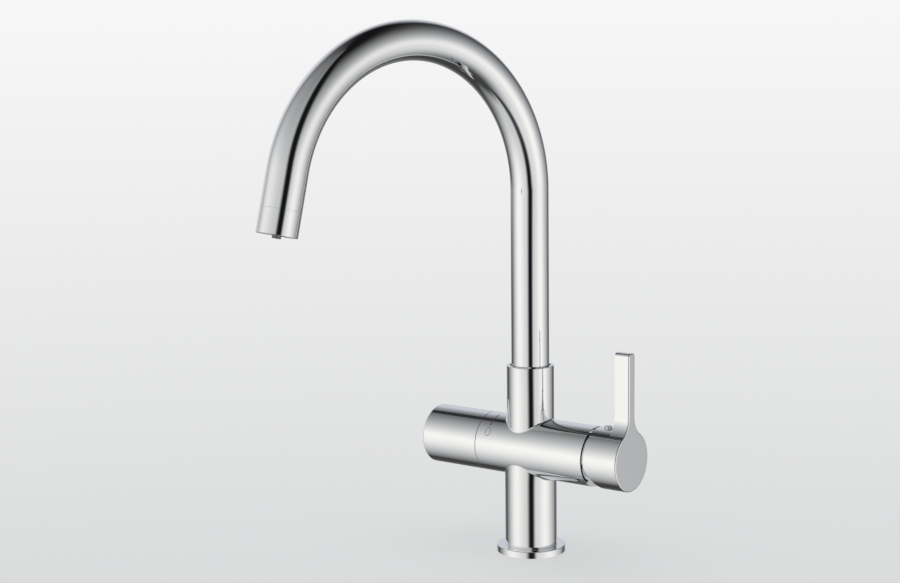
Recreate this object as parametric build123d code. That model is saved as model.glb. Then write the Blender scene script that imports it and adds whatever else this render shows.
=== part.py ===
from build123d import *
import os
from math import asin, cos, degrees, radians, sin

# Three-way kitchen tap: swan-neck spout, mixing lever on the right, filtered-water knob on the left.
# Millimetres. Origin in the middle of the base, on the deck. +X to the lever, -Y to the user.

# Fits and gaps
SEAT_FIT = 0.05
RUNNING_FIT = 0.06
LAPPED_GAP = 0.03
SLIDE_GAP = 0.25
SEAM_GAP = 0.3
COVER_GAP = 0.6

# Spout tube
TUBE_RADIUS = 14.3
TUBE_WALL = 1.2
SPOUT_RISE = 277.9
BEND_RADIUS = 111.5
BEND_ANGLE = 166.8
OUTLET_RUN = 43.9
SPOUT_TURN = -12.1
SPOUT_SWING = 75.0

# Body casting
AXIS_HEIGHT = 81.2
BARREL_LEFT = -36.4
BARREL_RIGHT = 60.0
COLLAR_RISE = 63.4
COLLAR_WALL = 2.5
COLUMN_RADIUS = 19.65
COLUMN_WALL = 3.05
COLUMN_REGISTER = 3.0
CEILING_DROP = 25.2
MOUTH_WALL = 2.0
BLEND_RADIUS = 1.5
RIM_ROUND = 0.5
END_ROUND = 0.2

# Base
FLANGE_RADIUS = 26.0
FLANGE_THICKNESS = 5.1
FLANGE_LIP = 1.6
FLANGE_ROUND = 0.4
FOOT_HEIGHT = 22.0
SEAL_INNER = 21.0
SEAL_WIDTH = 2.6
SEAL_THICKNESS = 1.5
STUD_RADIUS = 3.4
INLET_RADIUS = 4.5
THREAD_DEPTH = 14.0
INLET_WALL = 1.95
INLET_ANGLE = 57.0
RISER_RADIUS = 4.0
RISER_WALL = 0.8
RISER_SOCKET = 5.0
CHANNEL_RADIUS = 2.8

# Swivel of the spout in the collar
BORE_RISE = 22.8
SLIDE_RING_WALL = 1.1
SLIDE_RING_HEIGHT = 4.0
THRUST_RING_HEIGHT = 2.0
THRUST_RING_WIDTH = 2.4
SPIGOT_SINK = 2.6
SPIGOT_INSERT = 8.0
SPIGOT_WALL = 4.0
SPIGOT_SEAL_LAND = 5.0
SPIGOT_SEAL_SECTION = 1.25
SPIGOT_SEAL_DEPTH = 2.6
STOP_SCREW_RADIUS = 2.1
STOP_SLOT_DEPTH = 1.7
DISTRIBUTOR_HEIGHT = 5.0
SOCKET_BOSS_RADIUS = 6.6
SOCKET_BOSS_HEIGHT = 9.0
SOCKET_FLOOR = 3.2
MIXED_HOLE_WALL = 1.45
FILTER_SLOT_X = -9.0

# Filtered-water line and outlet
LINE_RADIUS = 4.0
LINE_WALL = 1.25
SLEEVE_LENGTH = 18.0
SLEEVE_WALL = 1.8
SLEEVE_SPIGOT = 7.0
SLEEVE_SHOULDER = 1.0
AERATOR_DEPTH = 10.0
AERATOR_RECESS = 1.0
AERATOR_SEAL = 2.0
AERATOR_RIM = 1.5
AERATOR_SLOTS = 16
AERATOR_SLOT_WIDTH = 1.1
NOZZLE_RADIUS = 3.1
NOZZLE_BORE = 1.8
NOZZLE_STEP_OUT = 2.0
NOZZLE_BARB = 8.0
LINE_END = 13.0

# Mixing cartridge
DRUM_LENGTH = 18.0
CARTRIDGE_RADIUS = 17.4
CARTRIDGE_WALL = 1.6
SHOULDER_DEPTH = 6.0
NECK_PROUD = 3.3
CARTRIDGE_LIP = 1.4
NECK_RADIUS = 14.0
NECK_WALL = 1.2
LIP_WIDTH = 2.0
PORT_BASE_THICKNESS = 6.0
DISC_THICKNESS = 3.5
DISC_RECESS = 1.5
FIXED_DISC_RADIUS = 12.9
MOVING_DISC_ROOM = 4.3
CARRIER_FLAT = 9.5
CARRIER_SLOT_FLOOR = 1.0
PORT_RADIUS = 2.6
PORT_SIDE = 8.0
PORT_UP = 4.0
OUTLET_DOWN = 7.0
PORT_SEAL_WIDTH = 1.4
PORT_SEAL_HEIGHT = 1.6
PIN_RADIUS = 1.7
PIN_LENGTH = 2.8
PIN_SIDE = 12.6
PIN_DOWN = 5.0
NUT_THREAD_STEP = 1.6
NUT_LENGTH = 4.0
NUT_NOTCHES = 4
NUT_NOTCH_WIDTH = 5.0
NUT_NOTCH_DEPTH = 2.0
MOUTH_DEPTH = 2.0
DOME_REACH = 10.5
DOME_WALL = 1.2
DOME_FLANGE_RIM = 1.5
DOME_FLANGE_FIT = 0.1
DOME_FLANGE_STEP = 2.2
DOME_FLANGE_SINK = 0.7

# Lever
PIVOT_PIN_RADIUS = 1.5
LEVER_LIFT = 25.0
LIFT_GAP = 0.4
HUB_GAP = 2.2
HUB_WALL = 2.0
LEVER_REACH = 30.5
LEVER_END_WALL = 6.0
PADDLE_THICKNESS = 12.3
PADDLE_WIDTH = 8.3
PADDLE_TOP = 80.6
PADDLE_FLARE = 16.0
PADDLE_CORNER = 2.6
LEVER_ROUND = 1.2
STEM_SQUARE = 7.0
STEM_COVER = 4.0
STEM_ARM_RADIUS = 2.2
STEM_BALL_RADIUS = 2.6
STEM_EYE_RADIUS = 4.4
STEM_SLOT_SIDE = 6.6
LEVER_BOSS_RADIUS = 7.0
LEVER_BOSS_GAP = 4.3
GRUB_RADIUS = 2.0
GRUB_LENGTH = 8.0
GRUB_INSET = 2.6
GRUB_ACCESS_RADIUS = 2.5
PLUG_RADIUS = 2.9
PLUG_PROUD = 1.9
PLUG_ROUND = 0.3

# Filtered-water valve and knob
KNOB_GAP = 0.3
KNOB_LENGTH = 50.8
KNOB_WALL = 2.0
KNOB_END_WALL = 3.0
KNOB_ROUND = 1.0
KNOB_BOSS_RADIUS = 8.0
KNOB_BOSS_GAP = 3.5
SPINDLE_SQUARE = 18.5
KNOB_SCREW_INSET = 8.5
VALVE_SOCKET = 14.0
VALVE_THREAD_RADIUS = 10.5
VALVE_THREAD_LENGTH = 6.0
VALVE_RECESS_DEPTH = 6.4
VALVE_RECESS_RADIUS = 16.5
VALVE_TIP_RADIUS = 9.6
VALVE_TIP_BORE = 8.7
VALVE_FLANGE_RADIUS = 14.0
VALVE_FLANGE_HEIGHT = 3.0
VALVE_HEX_FLATS = 24.0
VALVE_HEX_HEIGHT = 8.0
VALVE_NECK_RADIUS = 8.5
VALVE_NECK_LENGTH = 17.0
VALVE_WINDOW = 3.6
SEAT_SEAL_HEIGHT = 1.2
SEAT_HOLE_RADIUS = 4.5
SEAT_HOLE_LENGTH = 9.0
FILTER_DISC_THICKNESS = 2.4
DRIVE_PLATE = 3.0
SPINDLE_RADIUS = 4.0
SPINDLE_SEAL_LAND = 6.0
SPINDLE_SEAL_SECTION = 0.7
CLIP_RADIUS = 6.5
CLIP_THICKNESS = 1.0
CLIP_DEPTH = 0.6
CLIP_OPENING = 5.0

# Sizes that follow from those above
COLUMN_CEILING = AXIS_HEIGHT - CEILING_DROP
BORE_FLOOR = AXIS_HEIGHT + BORE_RISE
COLLAR_TOP = AXIS_HEIGHT + COLLAR_RISE
SLIDE_RING_RADIUS = TUBE_RADIUS + SLIDE_RING_WALL
COLLAR_RADIUS = SLIDE_RING_RADIUS + COLLAR_WALL
BORE_RADIUS = TUBE_RADIUS + COVER_GAP
SPIGOT_RADIUS = BORE_RADIUS - RUNNING_FIT
MIXED_HOLE_X = BORE_RADIUS - SEAT_FIT - CHANNEL_RADIUS - MIXED_HOLE_WALL
DISTRIBUTOR_TOP = BORE_FLOOR + DISTRIBUTOR_HEIGHT
SPIGOT_FOOT = DISTRIBUTOR_TOP + THRUST_RING_HEIGHT
TUBE_FOOT = COLLAR_TOP - SLIDE_RING_HEIGHT - SPIGOT_SINK
SPIGOT_SEAL_HEIGHTS = (SPIGOT_FOOT + SPIGOT_SEAL_LAND, TUBE_FOOT - SPIGOT_SEAL_LAND)
STOP_HEIGHT = (SPIGOT_FOOT + TUBE_FOOT) / 2
PIVOT_X = BARREL_RIGHT
CARTRIDGE_TOP = PIVOT_X + NECK_PROUD
CARTRIDGE_SHOULDER = BARREL_RIGHT - SHOULDER_DEPTH
CHAMBER_FLOOR = CARTRIDGE_SHOULDER - DRUM_LENGTH
NUT_THREAD_RADIUS = CARTRIDGE_RADIUS + NUT_THREAD_STEP
MOVING_DISC_RADIUS = CARTRIDGE_RADIUS - CARTRIDGE_WALL - MOVING_DISC_ROOM
DOME_FLANGE_RADIUS = NUT_THREAD_RADIUS + DOME_FLANGE_RIM
MOUTH_RADIUS = DOME_FLANGE_RADIUS + DOME_FLANGE_FIT
BARREL_RADIUS = MOUTH_RADIUS + MOUTH_WALL
DOME_RADIUS = DOME_FLANGE_RADIUS - DOME_FLANGE_STEP
FOOT_RADIUS = COLUMN_RADIUS - COLUMN_WALL - SEAT_FIT
INLET_CIRCLE = FOOT_RADIUS - INLET_RADIUS - INLET_WALL
INLET_X = INLET_CIRCLE * cos(radians(INLET_ANGLE))
INLET_Y = INLET_CIRCLE * sin(radians(INLET_ANGLE))
HUB_START = BARREL_RIGHT + HUB_GAP
LEVER_FACE = BARREL_RIGHT + LEVER_REACH
PADDLE_BACK = LEVER_FACE - PADDLE_THICKNESS
STEM_END = LEVER_FACE - STEM_COVER
LEVER_BOSS_START = CARTRIDGE_TOP + LEVER_BOSS_GAP
GRUB_X = LEVER_BOSS_START + GRUB_INSET
DISC_SEAT = CHAMBER_FLOOR + PORT_BASE_THICKNESS - DISC_RECESS
MOVING_DISC_FOOT = DISC_SEAT + DISC_THICKNESS + LAPPED_GAP
CARRIER_FOOT = MOVING_DISC_FOOT + DISC_THICKNESS
CARRIER_TOP = CARTRIDGE_SHOULDER - CARTRIDGE_WALL - SLIDE_GAP
STEM_ARM = PIVOT_X - CARRIER_FOOT - CARRIER_SLOT_FLOOR - SLIDE_GAP - STEM_BALL_RADIUS
NUT_TOP = CARTRIDGE_SHOULDER + NUT_LENGTH
VALVE_SHOULDER = -BARREL_LEFT - VALVE_RECESS_DEPTH
VALVE_FLOOR = VALVE_SHOULDER - VALVE_SOCKET
VALVE_TIP_END = VALVE_SHOULDER - VALVE_THREAD_LENGTH
VALVE_FLANGE_END = VALVE_SHOULDER + VALVE_FLANGE_HEIGHT
VALVE_HEX_END = VALVE_FLANGE_END + VALVE_HEX_HEIGHT
VALVE_NECK_END = VALVE_HEX_END + VALVE_NECK_LENGTH
FILTER_DISC_FOOT = VALVE_FLOOR + SEAT_SEAL_HEIGHT
FILTER_MOVING_FOOT = FILTER_DISC_FOOT + FILTER_DISC_THICKNESS + LAPPED_GAP
DRIVE_PLATE_FOOT = FILTER_MOVING_FOOT + FILTER_DISC_THICKNESS
VALVE_TIP_BORE_END = DRIVE_PLATE_FOOT + DRIVE_PLATE + SLIDE_GAP
SPINDLE_SEALS = (VALVE_SHOULDER + SPINDLE_SEAL_LAND, VALVE_NECK_END - SPINDLE_SEAL_LAND)
KNOB_START = KNOB_GAP - BARREL_LEFT
KNOB_END = KNOB_START + KNOB_LENGTH
KNOB_BOSS_START = VALVE_NECK_END + KNOB_BOSS_GAP
KNOB_SQUARE_END = KNOB_BOSS_START + SPINDLE_SQUARE
KNOB_SCREW_X = KNOB_BOSS_START + KNOB_SCREW_INSET

# Frames: local x up and local z along the barrel, to the right and to the left
BARREL = Plane(origin=(0, 0, AXIS_HEIGHT), x_dir=(0, 0, 1), z_dir=(1, 0, 0))
VALVE = Plane(origin=(0, 0, AXIS_HEIGHT), x_dir=(0, 0, 1), z_dir=(-1, 0, 0))
PIVOT = Pos(PIVOT_X, 0, AXIS_HEIGHT)
SCREW_HOLE = Pos(GRUB_X, 0, AXIS_HEIGHT)
SPOUT = Plane(origin=(0, 0, 0), x_dir=(0, -1, 0), z_dir=(-1, 0, 0))
TURNED = Rot(0, 0, SPOUT_TURN)
FROM_BOTTOM = (Align.CENTER, Align.CENTER, Align.MIN)


def turned(*outline):
    """Body of revolution about Z from its (radius, height) corners."""
    return revolve(make_face(Polyline(*[(r, 0, h) for r, h in outline], close=True)), Axis.Z)


def ring(outer, inner, bottom, top):
    """Plain ring about Z."""
    return turned((inner, bottom), (outer, bottom), (outer, top), (inner, top))


def disc(radius, bottom, top, x=0, y=0):
    """Plain cylinder along Z."""
    return Pos(x, y, bottom) * Cylinder(radius, top - bottom, align=FROM_BOTTOM)


def block(size_x, size_y, bottom, top, x=0, y=0):
    """Plain box between two heights."""
    return Pos(x, y, bottom) * Box(size_x, size_y, top - bottom, align=FROM_BOTTOM)


def seal_ring(groove_radius, section, height):
    """Round seal that sits on the floor of a groove."""
    return Pos(0, 0, height) * Torus(groove_radius + SEAT_FIT + section, section)


def drilled(radius, start, end):
    """Straight drilling between two points."""
    run = Vector(end) - Vector(start)
    return Plane(origin=start, z_dir=run).location * Cylinder(radius, run.length, align=FROM_BOTTOM)


def spout_point(turn, run=0.0):
    """Reach and height of the spout's centre line after a turn of the bend and a straight run."""
    way, rise = sin(radians(turn)), cos(radians(turn))
    return BEND_RADIUS * (1 - rise) + run * way, SPOUT_RISE + BEND_RADIUS * way + run * rise


def spout_path(bottom, cut_back):
    """Centre line of the spout from a height in the collar to a distance short of its outlet."""
    heel = spout_point(BEND_ANGLE)
    bend = ThreePointArc(spout_point(0), spout_point(BEND_ANGLE / 2), heel)
    end = Line(heel, spout_point(BEND_ANGLE, OUTLET_RUN - cut_back))
    return SPOUT * (Line((0, bottom), spout_point(0)) + bend + end)


def outlet_frame():
    """Frame at the outlet, with its Z axis back into the spout."""
    reach, height = spout_point(BEND_ANGLE, OUTLET_RUN)
    back = (0, sin(radians(BEND_ANGLE)), -cos(radians(BEND_ANGLE)))
    return Plane(origin=(0, -reach, height), x_dir=(1, 0, 0), z_dir=back)


# Base

INLETS = {
    "hot": (INLET_X, INLET_Y),
    "cold": (INLET_X, -INLET_Y),
    "filter": (-INLET_CIRCLE, 0.0),
}


def base_flange():
    """Chromed ring that the column stands in, with a groove for the deck seal."""
    flange = turned(
        (FOOT_RADIUS + SEAT_FIT, 0),
        (FLANGE_RADIUS, 0),
        (FLANGE_RADIUS, FLANGE_THICKNESS),
        (COLUMN_RADIUS + SEAT_FIT, FLANGE_THICKNESS),
        (COLUMN_RADIUS + SEAT_FIT, FLANGE_LIP),
        (FOOT_RADIUS + SEAT_FIT, FLANGE_LIP),
    )
    top_edges = flange.edges().filter_by(GeomType.CIRCLE).group_by(Axis.Z)[-1]
    return fillet(top_edges, FLANGE_ROUND) - base_seal()


def base_seal():
    """Rubber ring in the underside of the flange."""
    return ring(SEAL_INNER + SEAL_WIDTH, SEAL_INNER, 0, SEAL_THICKNESS)


def foot_block():
    """Brass plug in the foot of the column: one stud hole and three hose inlets."""
    foot = disc(FOOT_RADIUS, 0, FOOT_HEIGHT) - disc(STUD_RADIUS, 0, THREAD_DEPTH)
    for x, y in INLETS.values():
        foot -= disc(INLET_RADIUS, 0, THREAD_DEPTH, x, y)
        foot -= disc(CHANNEL_RADIUS, THREAD_DEPTH, FOOT_HEIGHT, x, y)
        foot -= disc(RISER_RADIUS + SEAT_FIT, FOOT_HEIGHT - RISER_SOCKET, FOOT_HEIGHT, x, y)
    return foot


def column_tube():
    """Chromed brass tube of the column, brazed to the casting and flush with it."""
    return ring(COLUMN_RADIUS, COLUMN_RADIUS - COLUMN_WALL, FLANGE_LIP, COLUMN_CEILING)


def riser(name):
    """Copper tube from an inlet up to the casting."""
    tube = ring(
        RISER_RADIUS, RISER_RADIUS - RISER_WALL, FOOT_HEIGHT - RISER_SOCKET, COLUMN_CEILING + RISER_SOCKET
    )
    return Pos(*INLETS[name], 0) * tube


# Body casting

def waterways():
    """Drillings that join the risers, the two valves and the spout bore."""
    socket_foot = COLUMN_CEILING - COLUMN_REGISTER
    cuts = [
        disc(RISER_RADIUS + SEAT_FIT, socket_foot, COLUMN_CEILING + RISER_SOCKET, x, y)
        for x, y in INLETS.values()
    ]
    cuts.append(VALVE * disc(SEAT_HOLE_RADIUS, VALVE_FLOOR - SEAT_HOLE_LENGTH, VALVE_FLOOR))
    port_height = AXIS_HEIGHT + PORT_UP
    outlet_height = AXIS_HEIGHT - OUTLET_DOWN
    mixed_elbow = (MIXED_HOLE_X, 0, outlet_height)
    valve_side = (-VALVE_FLOOR - CHANNEL_RADIUS, 0, AXIS_HEIGHT + VALVE_TIP_RADIUS)
    channels = [
        (mixed_elbow, (CHAMBER_FLOOR, 0, outlet_height)),
        (mixed_elbow, (MIXED_HOLE_X, 0, BORE_FLOOR)),
        ((-INLET_CIRCLE, 0, COLUMN_CEILING), (-INLET_CIRCLE, 0, AXIS_HEIGHT)),
        (valve_side, (FILTER_SLOT_X, 0, BORE_FLOOR)),
    ]
    for side in (1, -1):
        elbow = (INLET_X, side * INLET_Y)
        port = side * PORT_SIDE
        channels.append(((*elbow, COLUMN_CEILING), (*elbow, port_height)))
        channels.append(((INLET_X, port, port_height), (CHAMBER_FLOOR, port, port_height)))
    return cuts + [drilled(CHANNEL_RADIUS, start, end) for start, end in channels]


def chambers():
    """Bores for the spout, the cartridge and the filtered-water valve."""
    spout_bore = turned(
        (0, BORE_FLOOR),
        (BORE_RADIUS, BORE_FLOOR),
        (BORE_RADIUS, COLLAR_TOP - SLIDE_RING_HEIGHT),
        (SLIDE_RING_RADIUS + SEAT_FIT, COLLAR_TOP - SLIDE_RING_HEIGHT),
        (SLIDE_RING_RADIUS + SEAT_FIT, COLLAR_TOP),
        (0, COLLAR_TOP),
    )
    thread_foot = CARTRIDGE_SHOULDER - SEAT_FIT
    mouth_floor = BARREL_RIGHT - MOUTH_DEPTH
    cartridge_bore = turned(
        (0, CHAMBER_FLOOR),
        (CARTRIDGE_RADIUS + SEAT_FIT, CHAMBER_FLOOR),
        (CARTRIDGE_RADIUS + SEAT_FIT, thread_foot),
        (NUT_THREAD_RADIUS, thread_foot),
        (NUT_THREAD_RADIUS, mouth_floor),
        (MOUTH_RADIUS, mouth_floor),
        (MOUTH_RADIUS, BARREL_RIGHT),
        (0, BARREL_RIGHT),
    )
    valve_bore = disc(VALVE_THREAD_RADIUS, VALVE_FLOOR, VALVE_SHOULDER)
    valve_recess = disc(VALVE_RECESS_RADIUS, VALVE_SHOULDER, -BARREL_LEFT)
    pin_foot = CHAMBER_FLOOR - PIN_LENGTH
    pin_holes = [
        BARREL * disc(PIN_RADIUS + SEAT_FIT, pin_foot, CHAMBER_FLOOR, -PIN_DOWN, side * PIN_SIDE)
        for side in (1, -1)
    ]
    stop_hole = drilled(STOP_SCREW_RADIUS + SEAT_FIT, (0, 0, STOP_HEIGHT), (0, COLLAR_RADIUS, STOP_HEIGHT))
    bores = [spout_bore, BARREL * cartridge_bore, VALVE * valve_bore, VALVE * valve_recess, stop_hole]
    return bores + pin_holes


def main_body():
    """Brass casting: barrel, collar and head of the column in one, with its chambers and waterways."""
    casting = BARREL * disc(BARREL_RADIUS, BARREL_LEFT, BARREL_RIGHT)
    casting += disc(COLUMN_RADIUS, COLUMN_CEILING, AXIS_HEIGHT)
    casting += disc(COLLAR_RADIUS, AXIS_HEIGHT, COLLAR_TOP)
    round_edges = casting.edges().filter_by(GeomType.CIRCLE)
    blends = casting.edges().filter_by(GeomType.LINE, reverse=True) - round_edges
    casting = fillet(blends, BLEND_RADIUS)
    circles = casting.edges().filter_by(GeomType.CIRCLE)
    casting = fillet([circles.sort_by(Axis.X)[0], circles.sort_by(Axis.X)[-1]], END_ROUND)
    casting = fillet(casting.edges().filter_by(GeomType.CIRCLE).sort_by(Axis.Z)[-1], RIM_ROUND)
    casting += disc(FOOT_RADIUS, COLUMN_CEILING - COLUMN_REGISTER, COLUMN_CEILING)
    return casting - chambers() - waterways()


# Spout and its swivel

def spout_tube():
    """Bent chromed tube from the spigot to the outlet sleeve."""
    section = Pos(0, 0, TUBE_FOOT) * (Circle(TUBE_RADIUS) - Circle(TUBE_RADIUS - TUBE_WALL))
    return TURNED * sweep(section, spout_path(TUBE_FOOT, SLEEVE_LENGTH))


def stop_slot():
    """Slot round the back of the spigot that the stop screw runs in, drawn for a spout straight ahead."""
    floor = SPIGOT_RADIUS - STOP_SLOT_DEPTH
    half_height = STOP_SCREW_RADIUS + SLIDE_GAP
    half_angle = SPOUT_SWING + degrees(asin(half_height / floor))
    corners = [(floor, -half_height), (BORE_RADIUS, -half_height), (BORE_RADIUS, half_height),
               (floor, half_height)]
    face = make_face(Polyline(*[(r, 0, h) for r, h in corners], close=True))
    band = revolve(face, Axis.Z, revolution_arc=2 * half_angle)
    return Pos(0, 0, STOP_HEIGHT) * Rot(0, 0, 90 - half_angle) * band


def spout_spigot():
    """Turned brass foot of the spout, with two seal grooves and the stop slot."""
    bore = SPIGOT_RADIUS - SPIGOT_WALL
    insert = TUBE_RADIUS - TUBE_WALL - SEAT_FIT
    spigot = turned(
        (bore, SPIGOT_FOOT),
        (SPIGOT_RADIUS, SPIGOT_FOOT),
        (SPIGOT_RADIUS, TUBE_FOOT),
        (insert, TUBE_FOOT),
        (insert, TUBE_FOOT + SPIGOT_INSERT),
        (bore, TUBE_FOOT + SPIGOT_INSERT),
    )
    half_groove = SPIGOT_SEAL_SECTION + SEAT_FIT
    groove_floor = SPIGOT_RADIUS - SPIGOT_SEAL_DEPTH
    for height in SPIGOT_SEAL_HEIGHTS:
        spigot -= ring(BORE_RADIUS, groove_floor, height - half_groove, height + half_groove)
    return TURNED * (spigot - stop_slot())


def spigot_seal(height):
    """Rubber ring that seals the spigot in the collar."""
    return seal_ring(SPIGOT_RADIUS - SPIGOT_SEAL_DEPTH, SPIGOT_SEAL_SECTION, height)


def slide_ring():
    """Plastic guide ring round the tube in the mouth of the collar."""
    return ring(SLIDE_RING_RADIUS, TUBE_RADIUS + RUNNING_FIT, COLLAR_TOP - SLIDE_RING_HEIGHT,
                COLLAR_TOP - RIM_ROUND)


def thrust_ring():
    """Plastic washer that the spigot stands and turns on."""
    outer = BORE_RADIUS - SEAT_FIT
    return ring(outer, outer - THRUST_RING_WIDTH, DISTRIBUTOR_TOP, SPIGOT_FOOT)


def stop_screw():
    """Grub screw in the back of the collar, with its tip in the slot of the spigot."""
    tip = SPIGOT_RADIUS - STOP_SLOT_DEPTH + SLIDE_GAP
    return drilled(STOP_SCREW_RADIUS, (0, tip, STOP_HEIGHT), (0, COLLAR_RADIUS - RIM_ROUND, STOP_HEIGHT))


def distributor():
    """Plastic insert that leads filtered water to the middle and mixed water round it."""
    boss_top = DISTRIBUTOR_TOP + SOCKET_BOSS_HEIGHT
    slot_top = BORE_FLOOR + SOCKET_FLOOR / 2
    insert = disc(BORE_RADIUS - SEAT_FIT, BORE_FLOOR, DISTRIBUTOR_TOP)
    insert += disc(SOCKET_BOSS_RADIUS, DISTRIBUTOR_TOP, boss_top)
    insert -= disc(LINE_RADIUS + RUNNING_FIT, BORE_FLOOR + SOCKET_FLOOR, boss_top)
    insert -= disc(LINE_RADIUS - LINE_WALL, BORE_FLOOR, boss_top)
    insert -= block(-FILTER_SLOT_X, 2 * CHANNEL_RADIUS, BORE_FLOOR, slot_top, FILTER_SLOT_X / 2)
    insert -= disc(CHANNEL_RADIUS, BORE_FLOOR, slot_top, FILTER_SLOT_X)
    return insert - disc(CHANNEL_RADIUS, BORE_FLOOR, DISTRIBUTOR_TOP, MIXED_HOLE_X)


# Filtered-water line and outlet

def filter_line():
    """Plastic tube inside the spout, from the distributor to the nozzle."""
    foot = BORE_FLOOR + SOCKET_FLOOR + SLIDE_GAP
    section = Pos(0, 0, foot) * (Circle(LINE_RADIUS) - Circle(LINE_RADIUS - LINE_WALL))
    return TURNED * sweep(section, spout_path(foot, LINE_END))


def outlet_sleeve():
    """Chromed end sleeve of the spout, plugged into the tube."""
    inner = TUBE_RADIUS - SLEEVE_WALL
    plug = TUBE_RADIUS - TUBE_WALL - SEAT_FIT
    step = SLEEVE_LENGTH - SEAM_GAP
    throat = inner - SLEEVE_SHOULDER
    sleeve = turned(
        (inner, 0),
        (TUBE_RADIUS, 0),
        (TUBE_RADIUS, step),
        (plug, step),
        (plug, SLEEVE_LENGTH + SLEEVE_SPIGOT),
        (throat, SLEEVE_LENGTH + SLEEVE_SPIGOT),
        (throat, AERATOR_DEPTH),
        (inner, AERATOR_DEPTH),
    )
    rim = sleeve.edges().filter_by(GeomType.CIRCLE).group_by(Axis.Z)[0].sort_by(SortBy.RADIUS)[-1]
    return TURNED * (outlet_frame() * fillet(rim, END_ROUND))


def aerator():
    """Plastic insert with radial slots for the mixed water and a hole for the nozzle."""
    outer = TUBE_RADIUS - SLEEVE_WALL - SEAT_FIT
    hole = NOZZLE_RADIUS + SEAT_FIT
    top = AERATOR_DEPTH - AERATOR_SEAL
    insert = ring(outer, hole, AERATOR_RECESS, top)
    slot_length = outer - hole - 2 * AERATOR_RIM
    slot = block(slot_length, AERATOR_SLOT_WIDTH, AERATOR_RECESS, top, hole + AERATOR_RIM + slot_length / 2)
    slots = [Rot(0, 0, 360 * i / AERATOR_SLOTS) * slot for i in range(AERATOR_SLOTS)]
    return TURNED * (outlet_frame() * (insert - slots))


def aerator_seal():
    """Flat rubber ring between the aerator and the shoulder of the sleeve."""
    outer = TUBE_RADIUS - SLEEVE_WALL - SEAT_FIT
    inner = outer - SLEEVE_SHOULDER - AERATOR_RIM
    return TURNED * (outlet_frame() * ring(outer, inner, AERATOR_DEPTH - AERATOR_SEAL, AERATOR_DEPTH))


def filter_nozzle():
    """Nozzle of the filtered water in the middle of the aerator, with a barb for the line."""
    barb = LINE_RADIUS - LINE_WALL - SEAT_FIT
    collar_foot = AERATOR_DEPTH - AERATOR_SEAL
    nozzle = turned(
        (NOZZLE_BORE, -NOZZLE_STEP_OUT),
        (NOZZLE_RADIUS, -NOZZLE_STEP_OUT),
        (NOZZLE_RADIUS, collar_foot),
        (LINE_RADIUS, collar_foot),
        (LINE_RADIUS, LINE_END),
        (barb, LINE_END),
        (barb, LINE_END + NOZZLE_BARB),
        (NOZZLE_BORE, LINE_END + NOZZLE_BARB),
    )
    return TURNED * (outlet_frame() * nozzle)


# Mixing cartridge

PORTS = ((PORT_UP, PORT_SIDE), (PORT_UP, -PORT_SIDE), (-OUTLET_DOWN, 0.0))


def cartridge_base():
    """Port plate of the cartridge, with two locating pins and a seat for the fixed disc."""
    top = CHAMBER_FLOOR + PORT_BASE_THICKNESS
    base = disc(CARTRIDGE_RADIUS, CHAMBER_FLOOR, top) - disc(FIXED_DISC_RADIUS + SEAT_FIT, DISC_SEAT, top)
    seal_top = CHAMBER_FLOOR + PORT_SEAL_HEIGHT
    for up, side in PORTS:
        base -= disc(PORT_RADIUS, CHAMBER_FLOOR, top, up, side)
        base -= disc(PORT_RADIUS + PORT_SEAL_WIDTH, CHAMBER_FLOOR, seal_top, up, side)
    for side in (1, -1):
        base += disc(PIN_RADIUS, CHAMBER_FLOOR - PIN_LENGTH, CHAMBER_FLOOR, -PIN_DOWN, side * PIN_SIDE)
    return BARREL * base


def port_seals():
    """Three rubber rings between the port plate and the floor of the chamber."""
    seal = ring(PORT_RADIUS + PORT_SEAL_WIDTH - SEAT_FIT, PORT_RADIUS, CHAMBER_FLOOR,
                CHAMBER_FLOOR + PORT_SEAL_HEIGHT)
    return Compound(children=[BARREL * Pos(up, side, 0) * seal for up, side in PORTS])


def mixer_fixed_disc():
    """Ceramic disc with the two inlets and the outlet."""
    plate = disc(FIXED_DISC_RADIUS, DISC_SEAT, DISC_SEAT + DISC_THICKNESS)
    holes = [disc(PORT_RADIUS, DISC_SEAT, DISC_SEAT + DISC_THICKNESS, up, side) for up, side in PORTS]
    return BARREL * (plate - holes)


def mixer_moving_disc():
    """Ceramic disc that slides and turns on the fixed one, with its mixing pocket."""
    plate = disc(MOVING_DISC_RADIUS, MOVING_DISC_FOOT, CARRIER_FOOT)
    pocket = disc(OUTLET_DOWN - PORT_RADIUS, MOVING_DISC_FOOT, MOVING_DISC_FOOT + DISC_THICKNESS / 2,
                  PORT_RADIUS - OUTLET_DOWN)
    return BARREL * (plate - pocket)


def disc_carrier():
    """Plastic driver on the back of the moving disc, with a slot for the ball of the stem."""
    carrier = disc(MOVING_DISC_RADIUS, CARRIER_FOOT, CARRIER_TOP)
    carrier &= block(2 * MOVING_DISC_RADIUS, 2 * CARRIER_FLAT, CARRIER_FOOT, CARRIER_TOP)
    slot = 2 * (STEM_BALL_RADIUS + SLIDE_GAP)
    return BARREL * (carrier - block(slot, slot, CARRIER_FOOT + CARRIER_SLOT_FLOOR, CARRIER_TOP))


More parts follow.
